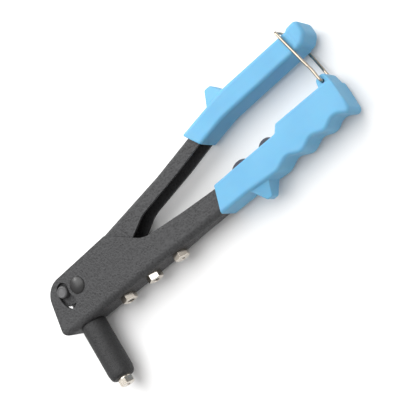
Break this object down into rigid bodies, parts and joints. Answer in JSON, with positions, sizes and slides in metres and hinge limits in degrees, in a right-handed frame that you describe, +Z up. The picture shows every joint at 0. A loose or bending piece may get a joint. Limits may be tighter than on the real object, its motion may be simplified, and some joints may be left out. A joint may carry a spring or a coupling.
{
  "type": "hand riveter",
  "caption": "Hand-operated blind rivet tool with a black channel body, round nose barrel, hinged lever, blue grips, stored spare nosepieces and a wire latch.",
  "frame": {"origin": "the middle of the underside of the bounding box, with the tool lying on its side", "axes": "+X along the fixed handle from the nose end to the grips, +Y from the nose towards the lever, +Z up along the main pivot"},
  "size_m": [0.269, 0.1256, 0.03],
  "materials": {
    "black_coat": "wrinkle powder coat",
    "blue_grip": "satin moulded",
    "dark_plastic": "matte",
    "plated_steel": "bright zinc plate",
    "tool_steel": "machined and oiled",
    "bronze": "sintered"
  },
  "bodies": {
    "body": {"body_frame": "black_coat", "lower_grip": "blue_grip", "pivot_rivet": "black_coat", "nose_barrel": "black_coat", "barrel_lock_nut": "tool_steel", "spanner_holder": "dark_plastic"},
    "lever": {"lever_arm": "black_coat", "upper_grip": "blue_grip", "lever_bush_front": "bronze", "lever_bush_back": "bronze", "drive_pin": "black_coat", "drive_pin_clip_front": "tool_steel", "drive_pin_clip_back": "tool_steel"},
    "carriage": {"carrier_rod": "tool_steel", "jaw_case": "tool_steel", "pusher_spring": "plated_steel"},
    "jaws": {"jaw_1": "tool_steel", "jaw_2": "tool_steel", "jaw_3": "tool_steel", "jaw_pusher": "tool_steel"},
    "bail": {"wire_bail": "plated_steel"},
    "spanner": {"spanner": "plated_steel"},
    "fitted_nosepiece": {"fitted_nosepiece": "plated_steel"},
    "spare_nosepiece_a": {"spare_nosepiece_a": "plated_steel"},
    "spare_nosepiece_b": {"spare_nosepiece_b": "plated_steel"},
    "spare_nosepiece_c": {"spare_nosepiece_c": "plated_steel"}
  },
  "joints": [
    {"name": "lever_swing", "type": "hinge", "parent": "body", "child": "lever", "pos_m": [-0.10409, 0.01295, 0.015], "axis": [0, 0, 1], "range_deg": [0, 40]},
    {"name": "carrier_slide", "type": "slide", "parent": "body", "child": "carriage", "axis": [0, -1, 0], "range_m": [0, 0.00907]},
    {"name": "jaw_set_slide", "type": "slide", "parent": "carriage", "child": "jaws", "axis": [0, 1, 0], "range_m": [0, 0.003], "stiffness_N_per_m": 800, "springref_m": -0.005, "deforming": ["pusher_spring"]},
    {"name": "bail_swing", "type": "hinge", "parent": "lever", "child": "bail", "pos_m": [0.11831, 0.05765, 0.015], "axis": [0, 0, 1], "range_deg": [-4, 150]},
    {"name": "spanner_slide", "type": "slide", "parent": "body", "child": "spanner", "axis": [0, 1, 0], "range_m": [0, 0.016]},
    {"name": "fitted_nosepiece_unscrew", "type": "slide", "parent": "body", "child": "fitted_nosepiece", "axis": [0, -1, 0], "range_m": [0, 0.008]},
    {"name": "spare_nosepiece_a_unscrew", "type": "slide", "parent": "body", "child": "spare_nosepiece_a", "axis": [0, -1, 0], "range_m": [0, 0.008]},
    {"name": "spare_nosepiece_b_unscrew", "type": "slide", "parent": "body", "child": "spare_nosepiece_b", "axis": [0, -1, 0], "range_m": [0, 0.008]},
    {"name": "spare_nosepiece_c_unscrew", "type": "slide", "parent": "body", "child": "spare_nosepiece_c", "axis": [0, -1, 0], "range_m": [0, 0.008]}
  ],
  "couplings": [
    {"joint": "carrier_slide", "follows": "lever_swing", "m_per_rad": 0.012985}
  ]
}
